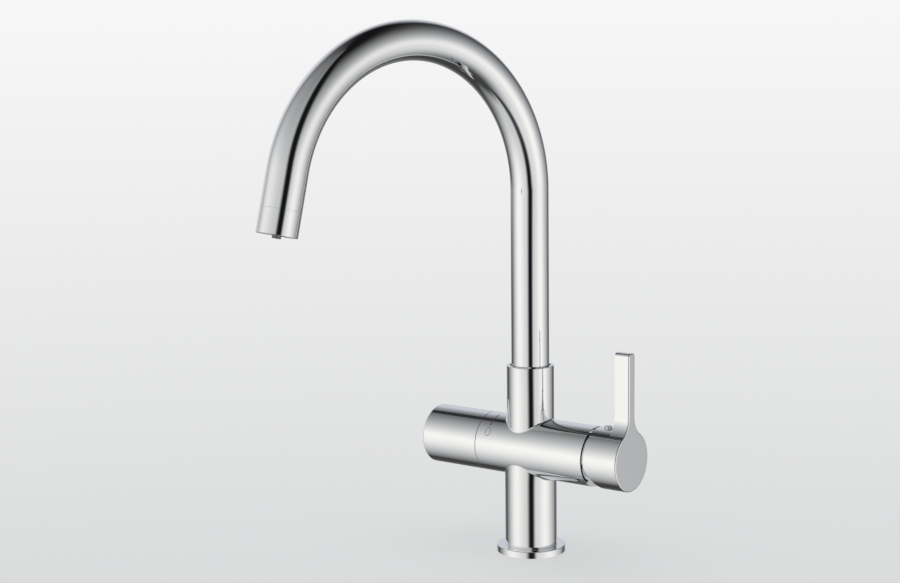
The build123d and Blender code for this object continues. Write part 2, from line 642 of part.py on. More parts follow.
def cartridge_housing():
    """Plastic shell of the cartridge, with a narrower neck that the nut goes round."""
    bore = NECK_RADIUS - NECK_WALL
    lip_foot = CARTRIDGE_TOP - CARTRIDGE_LIP
    drum_top = CARTRIDGE_SHOULDER - CARTRIDGE_WALL
    foot = CHAMBER_FLOOR + PORT_BASE_THICKNESS
    return BARREL * turned(
        (CARTRIDGE_RADIUS - CARTRIDGE_WALL, foot),
        (CARTRIDGE_RADIUS, foot),
        (CARTRIDGE_RADIUS, CARTRIDGE_SHOULDER),
        (NECK_RADIUS, CARTRIDGE_SHOULDER),
        (NECK_RADIUS, CARTRIDGE_TOP),
        (bore - LIP_WIDTH, CARTRIDGE_TOP),
        (bore - LIP_WIDTH, lip_foot),
        (bore, lip_foot),
        (bore, drum_top),
        (CARTRIDGE_RADIUS - CARTRIDGE_WALL, drum_top),
    )


def mixer_rotor():
    """Plastic rotor in the neck of the cartridge, which carries the pivot pin and guides the driver."""
    body = NECK_RADIUS - NECK_WALL - RUNNING_FIT
    neck = NECK_RADIUS - NECK_WALL - LIP_WIDTH - RUNNING_FIT
    lip_foot = CARTRIDGE_TOP - CARTRIDGE_LIP
    block_foot = CARRIER_TOP + SLIDE_GAP
    rotor = disc(body, CARRIER_FOOT + SLIDE_GAP, lip_foot - SLIDE_GAP)
    rotor -= block(2 * body, 2 * (CARRIER_FLAT + SLIDE_GAP), CARRIER_FOOT, block_foot)
    rotor += disc(neck, lip_foot - SLIDE_GAP, CARTRIDGE_TOP)
    rotor -= block(2 * STEM_SLOT_SIDE, STEM_SQUARE + 2 * SLIDE_GAP, CARRIER_FOOT, CARTRIDGE_TOP)
    pin = drilled(PIVOT_PIN_RADIUS + SEAT_FIT, (0, -body, PIVOT_X), (0, body, PIVOT_X))
    return BARREL * (rotor - pin)


def pivot_pin():
    """Steel pin across the rotor that the stem tilts on."""
    reach = NECK_RADIUS - NECK_WALL - LIP_WIDTH
    return BARREL * drilled(PIVOT_PIN_RADIUS, (0, -reach, PIVOT_X), (0, reach, PIVOT_X))


def cartridge_nut():
    """Brass ring nut that holds the cartridge down, with notches for a spanner."""
    outer = NUT_THREAD_RADIUS - SEAT_FIT
    nut = ring(outer, NECK_RADIUS + SEAT_FIT, CARTRIDGE_SHOULDER, NUT_TOP)
    notch = block(outer, NUT_NOTCH_WIDTH, NUT_TOP - NUT_NOTCH_DEPTH, NUT_TOP, outer)
    return BARREL * (nut - [Rot(0, 0, 360 * i / NUT_NOTCHES) * notch for i in range(NUT_NOTCHES)])


def cartridge_dome():
    """Chromed cover ring, round about the pivot, that shows when the lever is lifted."""
    foot = BARREL_RIGHT - MOUTH_DEPTH
    flange_top = BARREL_RIGHT - DOME_FLANGE_SINK
    end = PIVOT_X + DOME_REACH
    shell = Pos(0, 0, PIVOT_X) * Sphere(DOME_RADIUS) & disc(DOME_FLANGE_RADIUS, flange_top, end)
    shell += disc(DOME_FLANGE_RADIUS, foot, flange_top)
    hollow = Pos(0, 0, PIVOT_X) * Sphere(DOME_RADIUS - DOME_WALL)
    hollow += disc(NUT_THREAD_RADIUS, foot, NUT_TOP + SLIDE_GAP)
    return BARREL * (shell - hollow)


# Lever

def lever_handle():
    """Cast handle: a round hub, cut back below for its lift, with a flat paddle flush with its face."""
    outline = Circle(BARREL_RADIUS) + Pos(PADDLE_TOP / 2, 0) * Rectangle(PADDLE_TOP, PADDLE_WIDTH)
    outline = fillet(outline.vertices().group_by(Axis.X)[0], PADDLE_FLARE)
    outline = fillet(outline.vertices().sort_by(Axis.X)[-2:], PADDLE_CORNER)
    handle = extrude(BARREL * Pos(0, 0, PADDLE_BACK) * outline, LEVER_FACE - PADDLE_BACK)
    handle = fillet(handle.edges().group_by(Axis.X)[-1], LEVER_ROUND)
    handle += BARREL * disc(BARREL_RADIUS, HUB_START, PADDLE_BACK)
    cavity_end = LEVER_FACE - LEVER_END_WALL
    cavity = disc(BARREL_RADIUS - HUB_WALL, HUB_START, cavity_end)
    cavity -= disc(LEVER_BOSS_RADIUS, LEVER_BOSS_START, cavity_end)
    socket = STEM_SQUARE + 2 * SEAT_FIT
    cavity += block(socket, socket, LEVER_BOSS_START, STEM_END + SEAT_FIT)
    handle -= BARREL * cavity
    handle -= PIVOT * Rot(0, -LEVER_LIFT, 0) * Pos(BARREL_RIGHT + LIFT_GAP - PIVOT_X, 0, 0) * half_space()
    handle -= SCREW_HOLE * disc(GRUB_RADIUS + SEAT_FIT, 0, LEVER_BOSS_RADIUS)
    return handle - SCREW_HOLE * disc(PLUG_RADIUS + SLIDE_GAP, LEVER_BOSS_RADIUS, BARREL_RADIUS)


def half_space():
    """Large block on the left of its own origin."""
    size = 4 * BARREL_RADIUS
    return Box(size, size, size, align=(Align.MAX, Align.CENTER, Align.CENTER))


def lever_stem():
    """Steel stem of the cartridge: square outside, with an eye for the pin and a ball for the driver."""
    stem = block(STEM_SQUARE, STEM_SQUARE, PIVOT_X, STEM_END)
    stem += drilled(STEM_EYE_RADIUS, (0, -STEM_SQUARE / 2, PIVOT_X), (0, STEM_SQUARE / 2, PIVOT_X))
    stem += disc(STEM_ARM_RADIUS, PIVOT_X - STEM_ARM, PIVOT_X)
    stem += Pos(0, 0, PIVOT_X - STEM_ARM) * Sphere(STEM_BALL_RADIUS)
    stem -= drilled(PIVOT_PIN_RADIUS + RUNNING_FIT, (0, -STEM_SQUARE, PIVOT_X), (0, STEM_SQUARE, PIVOT_X))
    return BARREL * stem


def lever_screw():
    """Grub screw in the boss of the handle, tight on the stem."""
    foot = STEM_SQUARE / 2 + SEAT_FIT
    return SCREW_HOLE * disc(GRUB_RADIUS, foot, foot + GRUB_LENGTH)


def screw_plug():
    """Small button that closes the hole of the hub above the grub screw and stands a little proud."""
    plug = disc(PLUG_RADIUS, BARREL_RADIUS - HUB_WALL, BARREL_RADIUS + PLUG_PROUD)
    return SCREW_HOLE * fillet(plug.edges().filter_by(GeomType.CIRCLE).sort_by(Axis.Z)[-1], PLUG_ROUND)


# Filtered-water valve and knob

def valve_headwork():
    """Brass headwork of the quarter-turn valve: tip with windows, thread, flange, hexagon and neck."""
    thread = VALVE_THREAD_RADIUS - SEAT_FIT
    foot = VALVE_FLOOR + SEAT_SEAL_HEIGHT
    bore = SPINDLE_RADIUS + RUNNING_FIT
    headwork = turned(
        (VALVE_TIP_BORE, foot),
        (VALVE_TIP_RADIUS, foot),
        (VALVE_TIP_RADIUS, VALVE_TIP_END),
        (thread, VALVE_TIP_END),
        (thread, VALVE_SHOULDER),
        (VALVE_FLANGE_RADIUS, VALVE_SHOULDER),
        (VALVE_FLANGE_RADIUS, VALVE_FLANGE_END),
        (VALVE_NECK_RADIUS, VALVE_FLANGE_END),
        (VALVE_NECK_RADIUS, VALVE_NECK_END),
        (bore, VALVE_NECK_END),
        (bore, VALVE_TIP_BORE_END),
        (VALVE_TIP_BORE, VALVE_TIP_BORE_END),
    )
    hexagon = RegularPolygon(VALVE_HEX_FLATS / 2, 6, major_radius=False)
    hexagon = Pos(0, 0, VALVE_FLANGE_END) * extrude(hexagon, VALVE_HEX_END - VALVE_FLANGE_END)
    headwork += hexagon - disc(bore, VALVE_FLANGE_END, VALVE_HEX_END)
    window_top = VALVE_TIP_END - SEAT_FIT
    window = block(VALVE_WINDOW, 2 * VALVE_THREAD_RADIUS, window_top - VALVE_WINDOW, window_top)
    return VALVE * (headwork - window)


def seat_seal():
    """Rubber ring between the valve and its seat in the casting."""
    return VALVE * ring(VALVE_TIP_BORE, SEAT_HOLE_RADIUS, VALVE_FLOOR, VALVE_FLOOR + SEAT_SEAL_HEIGHT)


def half_moon(radius, bottom, top):
    """Half-round opening of a quarter-turn ceramic disc."""
    return disc(radius, bottom, top) & block(radius, 2 * radius, bottom, top, radius / 2 + SLIDE_GAP)


def filter_fixed_disc():
    """Ceramic disc held in the tip of the headwork."""
    top = FILTER_DISC_FOOT + FILTER_DISC_THICKNESS
    plate = disc(VALVE_TIP_BORE - SEAT_FIT, FILTER_DISC_FOOT, top)
    return VALVE * (plate - half_moon(SEAT_HOLE_RADIUS, FILTER_DISC_FOOT, top))


def filter_moving_disc():
    """Ceramic disc that turns with the spindle."""
    plate = disc(VALVE_TIP_BORE - SLIDE_GAP, FILTER_MOVING_FOOT, DRIVE_PLATE_FOOT)
    opening = half_moon(SEAT_HOLE_RADIUS, FILTER_MOVING_FOOT, DRIVE_PLATE_FOOT)
    return VALVE * (plate - Rot(0, 0, 180) * opening)


def filter_spindle():
    """Brass spindle with a drive plate, two seal grooves, a clip groove and a square end."""
    plate_top = DRIVE_PLATE_FOOT + DRIVE_PLATE
    spindle = disc(VALVE_TIP_BORE - SLIDE_GAP, DRIVE_PLATE_FOOT, plate_top)
    spindle += disc(SPINDLE_RADIUS, plate_top, KNOB_BOSS_START)
    spindle += block(STEM_SQUARE, STEM_SQUARE, KNOB_BOSS_START, KNOB_SQUARE_END) & disc(
        SPINDLE_RADIUS, KNOB_BOSS_START, KNOB_SQUARE_END)
    half_groove = SPINDLE_SEAL_SECTION + SEAT_FIT
    floor = SPINDLE_RADIUS - 2 * SPINDLE_SEAL_SECTION
    for place in SPINDLE_SEALS:
        spindle -= ring(2 * SPINDLE_RADIUS, floor, place - half_groove, place + half_groove)
    clip_foot = VALVE_NECK_END + SLIDE_GAP
    spindle -= ring(2 * SPINDLE_RADIUS, SPINDLE_RADIUS - CLIP_DEPTH, clip_foot - SEAT_FIT,
                    clip_foot + CLIP_THICKNESS + SEAT_FIT)
    return VALVE * spindle


def spindle_seal(place):
    """Rubber ring in a groove of the spindle."""
    floor = SPINDLE_RADIUS - 2 * SPINDLE_SEAL_SECTION
    return VALVE * seal_ring(floor, SPINDLE_SEAL_SECTION - SEAT_FIT, place)


def spindle_clip():
    """Open spring clip that keeps the spindle in the headwork."""
    foot = VALVE_NECK_END + SLIDE_GAP
    clip = ring(CLIP_RADIUS, SPINDLE_RADIUS - CLIP_DEPTH + SEAT_FIT, foot, foot + CLIP_THICKNESS)
    return VALVE * (clip - block(CLIP_RADIUS, CLIP_OPENING, foot, foot + CLIP_THICKNESS, CLIP_RADIUS / 2))


def filter_knob():
    """Turned chromed knob, closed at its end, with a boss for the spindle."""
    knob = disc(BARREL_RADIUS, KNOB_START, KNOB_END)
    circles = knob.edges().filter_by(GeomType.CIRCLE)
    knob = fillet(circles.sort_by(Axis.Z)[-1], KNOB_ROUND)
    knob = fillet(knob.edges().filter_by(GeomType.CIRCLE).sort_by(Axis.Z)[0], END_ROUND)
    cavity_end = KNOB_END - KNOB_END_WALL
    cavity = disc(BARREL_RADIUS - KNOB_WALL, KNOB_START, cavity_end)
    cavity -= disc(KNOB_BOSS_RADIUS, KNOB_BOSS_START, cavity_end)
    socket = STEM_SQUARE + 2 * SEAT_FIT
    cavity += block(socket, socket, KNOB_BOSS_START, KNOB_SQUARE_END + SEAT_FIT) & disc(
        SPINDLE_RADIUS + SEAT_FIT, KNOB_BOSS_START, KNOB_SQUARE_END + SEAT_FIT)
    boss_side = (-KNOB_BOSS_RADIUS, 0, KNOB_SCREW_X)
    knob -= cavity
    knob -= drilled(GRUB_RADIUS + SEAT_FIT, (0, 0, KNOB_SCREW_X), boss_side)
    knob -= drilled(GRUB_ACCESS_RADIUS, boss_side, (-BARREL_RADIUS, 0, KNOB_SCREW_X))
    return VALVE * knob


def knob_screw():
    """Grub screw under the knob, tight on the square of the spindle."""
    foot = STEM_SQUARE / 2 + SEAT_FIT
    return VALVE * drilled(GRUB_RADIUS, (-foot, 0, KNOB_SCREW_X), (-foot - GRUB_LENGTH, 0, KNOB_SCREW_X))


# Assembly

NODES = {
    "main_body": main_body(),
    "base_flange": base_flange(),
    "base_seal": base_seal(),
    "foot_block": foot_block(),
    "column_tube": column_tube(),
    "hot_riser": riser("hot"),
    "cold_riser": riser("cold"),
    "filter_riser": riser("filter"),
    "distributor": distributor(),
    "thrust_ring": thrust_ring(),
    "slide_ring": slide_ring(),
    "spout_stop_screw": stop_screw(),
    "spout_tube": spout_tube(),
    "spout_spigot": spout_spigot(),
    "lower_spigot_seal": spigot_seal(SPIGOT_SEAL_HEIGHTS[0]),
    "upper_spigot_seal": spigot_seal(SPIGOT_SEAL_HEIGHTS[1]),
    "filter_line": filter_line(),
    "outlet_sleeve": outlet_sleeve(),
    "aerator": aerator(),
    "aerator_seal": aerator_seal(),
    "filter_nozzle": filter_nozzle(),
    "cartridge_base": cartridge_base(),
    "port_seals": port_seals(),
    "mixer_fixed_disc": mixer_fixed_disc(),
    "mixer_moving_disc": mixer_moving_disc(),
    "disc_carrier": disc_carrier(),
    "mixer_rotor": mixer_rotor(),
    "pivot_pin": pivot_pin(),
    "cartridge_housing": cartridge_housing(),
    "cartridge_nut": cartridge_nut(),
    "cartridge_dome": cartridge_dome(),
    "lever_stem": lever_stem(),
    "lever_handle": lever_handle(),
    "lever_screw": lever_screw(),
    "screw_plug": screw_plug(),
    "valve_headwork": valve_headwork(),
    "seat_seal": seat_seal(),
    "filter_fixed_disc": filter_fixed_disc(),
    "filter_moving_disc": filter_moving_disc(),
    "filter_spindle": filter_spindle(),
    "inner_spindle_seal": spindle_seal(SPINDLE_SEALS[0]),
    "outer_spindle_seal": spindle_seal(SPINDLE_SEALS[1]),
    "spindle_clip": spindle_clip(),
    "filter_knob": filter_knob(),
    "knob_screw": knob_screw(),
}

os.makedirs("parts", exist_ok=True)
for name, shape in NODES.items():
    export_step(shape, f"parts/{name}.step")
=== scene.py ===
import logging
import math
from dataclasses import dataclass
from enum import Enum
from typing import Any, Optional, Union

import bpy
from mathutils import Matrix, Vector


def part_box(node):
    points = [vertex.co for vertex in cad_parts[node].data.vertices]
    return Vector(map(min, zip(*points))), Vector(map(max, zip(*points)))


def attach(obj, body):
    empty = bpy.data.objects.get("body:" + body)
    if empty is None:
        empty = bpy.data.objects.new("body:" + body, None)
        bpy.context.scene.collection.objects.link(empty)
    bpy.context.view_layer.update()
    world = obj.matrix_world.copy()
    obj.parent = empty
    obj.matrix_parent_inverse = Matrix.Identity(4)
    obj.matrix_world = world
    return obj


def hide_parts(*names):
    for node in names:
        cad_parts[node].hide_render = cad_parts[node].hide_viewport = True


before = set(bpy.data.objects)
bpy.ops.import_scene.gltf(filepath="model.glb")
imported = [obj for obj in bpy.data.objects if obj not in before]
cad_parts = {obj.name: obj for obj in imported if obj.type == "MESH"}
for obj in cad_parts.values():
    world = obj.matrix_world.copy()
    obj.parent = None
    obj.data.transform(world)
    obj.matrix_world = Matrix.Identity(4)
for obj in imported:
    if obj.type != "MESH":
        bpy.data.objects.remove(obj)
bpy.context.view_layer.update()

LOG = logging.getLogger("tap")
MM = 0.001
MERGE_DISTANCE = 0.001 * MM
PICTURE_WIDTH = 900
SENSOR_WIDTH = 36.0
DEGREES = 180 / math.pi

Colour = tuple[float, float, float]
Point = tuple[float, float, float]
Span = tuple[float, float]
Feed = Union["Value", bpy.types.NodeSocket, float, tuple]


class Slot(Enum):
    """Material slots of the record."""

    CHROME = "chrome"
    BRASS = "brass"
    COPPER = "copper"
    STEEL = "steel"
    RUBBER = "rubber"
    GREY_PLASTIC = "grey_plastic"
    WHITE_PLASTIC = "white_plastic"
    CERAMIC = "ceramic"


class Side(Enum):
    """Side of the camera that a soft box stands on, as the sign of its bearing."""

    LEFT = -1
    RIGHT = 1


class Value:
    """A number that a shader works out, so that sums on it read as Python."""

    def __init__(self, graph: "Graph", socket: bpy.types.NodeSocket) -> None:
        """Keeps the socket and the graph that it is in."""
        self.graph = graph
        self.socket = socket

    def __add__(self, other: Feed) -> "Value":
        """Adds a number or a value."""
        return self.graph.math("ADD", self, other)

    def __radd__(self, other: Feed) -> "Value":
        """Adds this value to a number."""
        return self.graph.math("ADD", other, self)

    def __sub__(self, other: Feed) -> "Value":
        """Takes away a number or a value."""
        return self.graph.math("SUBTRACT", self, other)

    def __rsub__(self, other: Feed) -> "Value":
        """Takes this value from a number."""
        return self.graph.math("SUBTRACT", other, self)

    def __mul__(self, other: Feed) -> "Value":
        """Multiplies by a number or a value."""
        return self.graph.math("MULTIPLY", self, other)

    def __rmul__(self, other: Feed) -> "Value":
        """Multiplies a number by this value."""
        return self.graph.math("MULTIPLY", other, self)

    def __truediv__(self, other: Feed) -> "Value":
        """Divides by a number or a value."""
        return self.graph.math("DIVIDE", self, other)

    def __rtruediv__(self, other: Feed) -> "Value":
        """Divides a number by this value."""
        return self.graph.math("DIVIDE", other, self)

    def __abs__(self) -> "Value":
        """Drops the sign."""
        return self.graph.math("ABSOLUTE", self)


class Graph:
    """A shader's nodes, added from Python."""

    def __init__(self, tree: bpy.types.NodeTree) -> None:
        """Empties the tree and keeps it."""
        self.tree = tree
        self.tree.nodes.clear()

    def node(
        self,
        kind: str,
        settings: Optional[dict[str, Any]] = None,
        sockets: Optional[dict[Union[str, int], Feed]] = None,
    ) -> bpy.types.Node:
        """Adds one node.

        Args:
            kind: the node's type.
            settings: properties that are set first, such as a Math node's operation.
            sockets: a value or a link for each input, by its name or number.

        Returns:
            The new node.
        """
        made = self.tree.nodes.new(kind)
        for name, wanted in (settings or {}).items():
            setattr(made, name, wanted)
        for name, wanted in (sockets or {}).items():
            self.feed(made.inputs[name], wanted)
        return made

    def feed(self, socket: bpy.types.NodeSocket, wanted: Feed) -> None:
        """Sets a socket or links it.

        Args:
            socket: the input.
            wanted: a number, a colour or vector, a value or another node's output.
        """
        if isinstance(wanted, Value):
            self.tree.links.new(wanted.socket, socket)
        elif isinstance(wanted, bpy.types.NodeSocket):
            self.tree.links.new(wanted, socket)
        elif socket.type == "RGBA" and len(wanted) == 3:
            socket.default_value = (*wanted, 1.0)
        else:
            socket.default_value = wanted

    def value(self, kind: str, output: Union[str, int], settings: Optional[dict] = None,
              sockets: Optional[dict] = None) -> Value:
        """Adds a node and wraps one of its outputs.

        Args:
            kind: the node's type.
            output: the output's name or number.
            settings: as for node.
            sockets: as for node.

        Returns:
            The output as a value.
        """
        return Value(self, self.node(kind, settings, sockets).outputs[output])

    def math(self, operation: str, *feeds: Feed) -> Value:
        """Adds a Math node on one to three numbers and returns its result."""
        return self.value("ShaderNodeMath", 0, {"operation": operation}, dict(enumerate(feeds)))

    def dot(self, vector: bpy.types.NodeSocket, along: Point) -> Value:
        """Returns how far a vector goes along a direction."""
        return self.value("ShaderNodeVectorMath", "Value", {"operation": "DOT_PRODUCT"},
                          {0: vector, 1: along})

    def step(self, value: Value, low: float, high: float) -> Value:
        """Returns a smooth step that rises from 0 at low to 1 at high."""
        return self.value("ShaderNodeMapRange", 0, {"interpolation_type": "SMOOTHSTEP"},
                          {0: value, 1: low, 2: high, 3: 0.0, 4: 1.0})

    def mix(self, share: Value, first: Feed, second: Feed) -> bpy.types.NodeSocket:
        """Mixes two colours.

        Args:
            share: 0 gives the first colour, 1 the second.
            first: a colour.
            second: a colour.

        Returns:
            The mixed colour's socket.
        """
        made = self.node("ShaderNodeMix", {"data_type": "RGBA"}, {0: share, 6: first, 7: second})
        return made.outputs[2]

    def place(self, stretch: Point = (1.0, 1.0, 1.0)) -> bpy.types.NodeSocket:
        """Returns the place on the piece in metres, stretched along each axis."""
        spot = self.node("ShaderNodeTexCoord").outputs["Object"]
        return self.node("ShaderNodeMapping", None, {"Vector": spot, "Scale": stretch}).outputs[0]

    def noise(self, spot: bpy.types.NodeSocket, scale: float, detail: float) -> Value:
        """Returns cloudy noise from 0 to 1.

        Args:
            spot: the place on the piece.
            scale: clouds per metre.
            detail: how many finer layers it has.

        Returns:
            The noise.
        """
        return self.value("ShaderNodeTexNoise", 0, {}, {"Vector": spot, "Scale": scale, "Detail": detail})

    def bump(self, height: Value, strength: float, depth: float) -> bpy.types.NodeSocket:
        """Returns a normal that rises and falls with a height.

        Args:
            height: the relief from 0 to 1.
            strength: share of the full effect.
            depth: height of the relief in metres.

        Returns:
            The normal's socket.
        """
        return self.node("ShaderNodeBump", None,
                         {"Strength": strength, "Distance": depth, "Height": height}).outputs[0]

    def surface(self, sockets: dict[str, Feed]) -> None:
        """Ends a material in a principled shader with these sockets."""
        shader = self.node("ShaderNodeBsdfPrincipled", None, sockets)
        self.node("ShaderNodeOutputMaterial", None, {"Surface": shader.outputs[0]})


@dataclass(frozen=True)
class Finish:
    """A finish that pieces share."""

    name: str
    slot: Slot
    colour: Colour
    shade_colour: Colour
    gloss: float
    dull: float

    def material(self) -> bpy.types.Material:
        """Returns the finish's material, made at its first use."""
        made = bpy.data.materials.get(self.name)
        if made is None:
            made = bpy.data.materials.new(self.name)
            made.use_nodes = True
            self.shade(Graph(made.node_tree))
        return made

    def shade(self, graph: Graph) -> None:
        """Builds the finish's nodes."""
        raise NotImplementedError

    def roughness(self, wear: Value) -> Value:
        """Returns a roughness that goes from gloss to dull with a mask."""
        return self.gloss + wear * (self.dull - self.gloss)


@dataclass(frozen=True)
class PolishedChrome(Finish):
    """Bright plating over a buffed casting: faint wipe marks and a trace of polishing waviness."""

    wipe_scale: float = 34.0
    wipe_detail: float = 4.0
    wipe_edge: Span = (0.35, 0.75)
    wipe_share: float = 0.6
    grain_scale: float = 2600.0
    grain_detail: float = 1.0
    grain_share: float = 0.4
    wave_scale: float = 55.0
    wave_detail: float = 1.0
    wave_strength: float = 0.1
    wave_depth: float = 0.02 * MM

    def shade(self, graph: Graph) -> None:
        """Builds wipe marks into the gloss and waviness into the normal."""
        spot = graph.place()
        wipe = graph.step(graph.noise(spot, self.wipe_scale, self.wipe_detail), *self.wipe_edge)
        grain = graph.noise(spot, self.grain_scale, self.grain_detail)
        wave = graph.noise(spot, self.wave_scale, self.wave_detail)
        graph.surface({
            "Base Color": graph.mix(wipe, self.colour, self.shade_colour),
            "Metallic": 1.0,
            "Roughness": self.roughness(wipe * self.wipe_share + grain * self.grain_share),
            "Normal": graph.bump(wave, self.wave_strength, self.wave_depth),
        })


@dataclass(frozen=True)
class MachinedMetal(Finish):
    """Bare turned or drawn metal: fine tool lines and a dull bloom."""

    line_stretch: Point = (1.0, 1.0, 14.0)
    line_scale: float = 420.0
    line_detail: float = 3.0
    line_share: float = 0.5
    line_strength: float = 0.35
    line_depth: float = 0.03 * MM
    bloom_scale: float = 90.0
    bloom_detail: float = 5.0
    bloom_edge: Span = (0.3, 0.8)
    bloom_share: float = 0.5

    def shade(self, graph: Graph) -> None:
        """Builds tool lines and bloom."""
        lines = graph.noise(graph.place(self.line_stretch), self.line_scale, self.line_detail)
        bloom = graph.step(graph.noise(graph.place(), self.bloom_scale, self.bloom_detail), *self.bloom_edge)
        graph.surface({
            "Base Color": graph.mix(bloom, self.colour, self.shade_colour),
            "Metallic": 1.0,
            "Roughness": self.roughness(bloom * self.bloom_share + lines * self.line_share),
            "Normal": graph.bump(lines, self.line_strength, self.line_depth),
        })


@dataclass(frozen=True)
class Moulded(Finish):
    """Rubber or plastic from a mould: a fine skin grain and a soft mottle."""

    grain_scale: float = 1900.0
    grain_detail: float = 2.0
    grain_share: float = 0.6
    grain_strength: float = 0.4
    grain_depth: float = 0.04 * MM
    mottle_scale: float = 140.0
    mottle_detail: float = 4.0
    mottle_edge: Span = (0.3, 0.7)
    mottle_share: float = 0.4

    def shade(self, graph: Graph) -> None:
        """Builds skin grain and mottle."""
        spot = graph.place()
        mottle = graph.step(graph.noise(spot, self.mottle_scale, self.mottle_detail), *self.mottle_edge)
        grain = graph.noise(spot, self.grain_scale, self.grain_detail)
        graph.surface({
            "Base Color": graph.mix(mottle, self.colour, self.shade_colour),
            "Roughness": self.roughness(mottle * self.mottle_share + grain * self.grain_share),
            "Normal": graph.bump(grain, self.grain_strength, self.grain_depth),
        })


@dataclass(frozen=True)
class GroundCeramic(Finish):
    """Lapped ceramic: a glossy face with tiny pores."""

    pore_scale: float = 3200.0
    pore_detail: float = 2.0
    pore_edge: Span = (0.62, 0.7)
    pore_share: float = 0.5
    pore_strength: float = 0.3
    pore_depth: float = 0.01 * MM
    cloud_scale: float = 160.0
    cloud_detail: float = 4.0
    cloud_share: float = 0.5

    def shade(self, graph: Graph) -> None:
        """Builds pores and clouds."""
        spot = graph.place()
        pores = graph.step(graph.noise(spot, self.pore_scale, self.pore_detail), *self.pore_edge)
        clouds = graph.noise(spot, self.cloud_scale, self.cloud_detail)
        stain = clouds * self.cloud_share + pores * self.pore_share
        graph.surface({
            "Base Color": graph.mix(stain, self.colour, self.shade_colour),
            "Roughness": self.roughness(pores),
            "Normal": graph.bump(1 - pores, self.pore_strength, self.pore_depth),
        })


@dataclass(frozen=True)
class MarkInk(Finish):
    """Thin printed ink: slightly worn, so that its colour varies."""

    fleck_scale: float = 1500.0
    fleck_detail: float = 3.0
    fleck_edge: Span = (0.4, 0.75)
    fleck_strength: float = 0.2
    fleck_depth: float = 0.01 * MM

    def shade(self, graph: Graph) -> None:
        """Builds flecks of wear."""
        flecks = graph.step(graph.noise(graph.place(), self.fleck_scale, self.fleck_detail), *self.fleck_edge)
        graph.surface({
            "Base Color": graph.mix(flecks, self.colour, self.shade_colour),
            "Roughness": self.roughness(flecks),
            "Normal": graph.bump(flecks, self.fleck_strength, self.fleck_depth),
        })


CHROME = PolishedChrome("polished_chrome", Slot.CHROME, colour=(0.88, 0.885, 0.89),
                        shade_colour=(0.86, 0.868, 0.876), gloss=0.03, dull=0.06)
BRASS = MachinedMetal("turned_brass", Slot.BRASS, colour=(0.72, 0.56, 0.28),
                      shade_colour=(0.60, 0.45, 0.21), gloss=0.22, dull=0.42)
COPPER = MachinedMetal("drawn_copper", Slot.COPPER, colour=(0.72, 0.43, 0.29),
                       shade_colour=(0.55, 0.31, 0.20), gloss=0.24, dull=0.46)
STEEL = MachinedMetal("bright_steel", Slot.STEEL, colour=(0.62, 0.63, 0.65),
                      shade_colour=(0.50, 0.51, 0.53), gloss=0.20, dull=0.38)
# steel darkened far below bright steel for the nozzle in the outlet: painted shade, standing in for the shade
# that falls on it there
NOZZLE_PAINTED_SHADE_STEEL = MachinedMetal("painted_shade_steel", Slot.STEEL, colour=(0.30, 0.29, 0.27),
                             shade_colour=(0.24, 0.235, 0.22), gloss=0.42, dull=0.58)
RUBBER = Moulded("black_rubber", Slot.RUBBER, colour=(0.05, 0.05, 0.055),
                 shade_colour=(0.075, 0.075, 0.08), gloss=0.50, dull=0.72)
GREY_PLASTIC = Moulded("grey_plastic_skin", Slot.GREY_PLASTIC, colour=(0.30, 0.31, 0.33),
                       shade_colour=(0.26, 0.27, 0.29), gloss=0.34, dull=0.52)
DARK_PLASTIC = Moulded("dark_plastic_skin", Slot.GREY_PLASTIC, colour=(0.05, 0.05, 0.055),
                       shade_colour=(0.07, 0.07, 0.075), gloss=0.36, dull=0.52)
WHITE_PLASTIC = Moulded("white_plastic_skin", Slot.WHITE_PLASTIC, colour=(0.86, 0.87, 0.88),
                        shade_colour=(0.80, 0.81, 0.82), gloss=0.30, dull=0.48)
CERAMIC = GroundCeramic("lapped_ceramic", Slot.CERAMIC, colour=(0.92, 0.91, 0.88),
                        shade_colour=(0.84, 0.83, 0.79), gloss=0.12, dull=0.40)
GREY_INK = MarkInk("grey_mark_ink", Slot.CHROME, colour=(0.20, 0.19, 0.175),
                   shade_colour=(0.27, 0.26, 0.245), gloss=0.38, dull=0.55)
DARK_INK = MarkInk("dark_mark_ink", Slot.CHROME, colour=(0.05, 0.046, 0.042),
                   shade_colour=(0.08, 0.075, 0.07), gloss=0.38, dull=0.55)


def dress(piece: bpy.types.Object, finish: Finish) -> None:
    """Puts a finish on every material slot of a piece.

    Args:
        piece: a CAD node or a new piece.
        finish: what it is finished in.
    """
    if not piece.material_slots:
        piece.data.materials.append(finish.material())
    for slot in piece.material_slots:
        slot.material = finish.material()
    LOG.info("%s: %s", piece.name, finish.name)


def named(name: str) -> bpy.types.Object:
    """Names the primitive that was just added, and its mesh, and returns it."""
    piece = bpy.context.active_object
    piece.name = name
    piece.data.name = name
    return piece


def close_up() -> None:
    """Merges doubles, turns faces outwards and leaves edit mode."""
    bpy.ops.mesh.select_all(action="SELECT")
    bpy.ops.mesh.remove_doubles(threshold=MERGE_DISTANCE)
    bpy.ops.mesh.normals_make_consistent(inside=False)
    bpy.ops.object.mode_set(mode="OBJECT")


@dataclass
class Assembly:
    """A sub-assembly whose CAD nodes keep their shape and get a finish."""

    def finishes(self) -> dict[Finish, list[str]]:
        """Returns the nodes that each finish goes on."""
        raise NotImplementedError

    def build(self) -> None:
        """Dresses the sub-assembly's nodes."""
        for finish, names in self.finishes().items():
            for name in names:
                dress(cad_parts[name], finish)


@dataclass
class Foot(Assembly):
    """The ring that stands on the deck, its seal, the hose block and the riser tubes."""

    def finishes(self) -> dict[Finish, list[str]]:
        """Returns the nodes that each finish goes on."""
        return {
            CHROME: ["base_flange"],
            RUBBER: ["base_seal"],
            BRASS: ["foot_block"],
            COPPER: ["hot_riser", "cold_riser", "filter_riser"],
        }


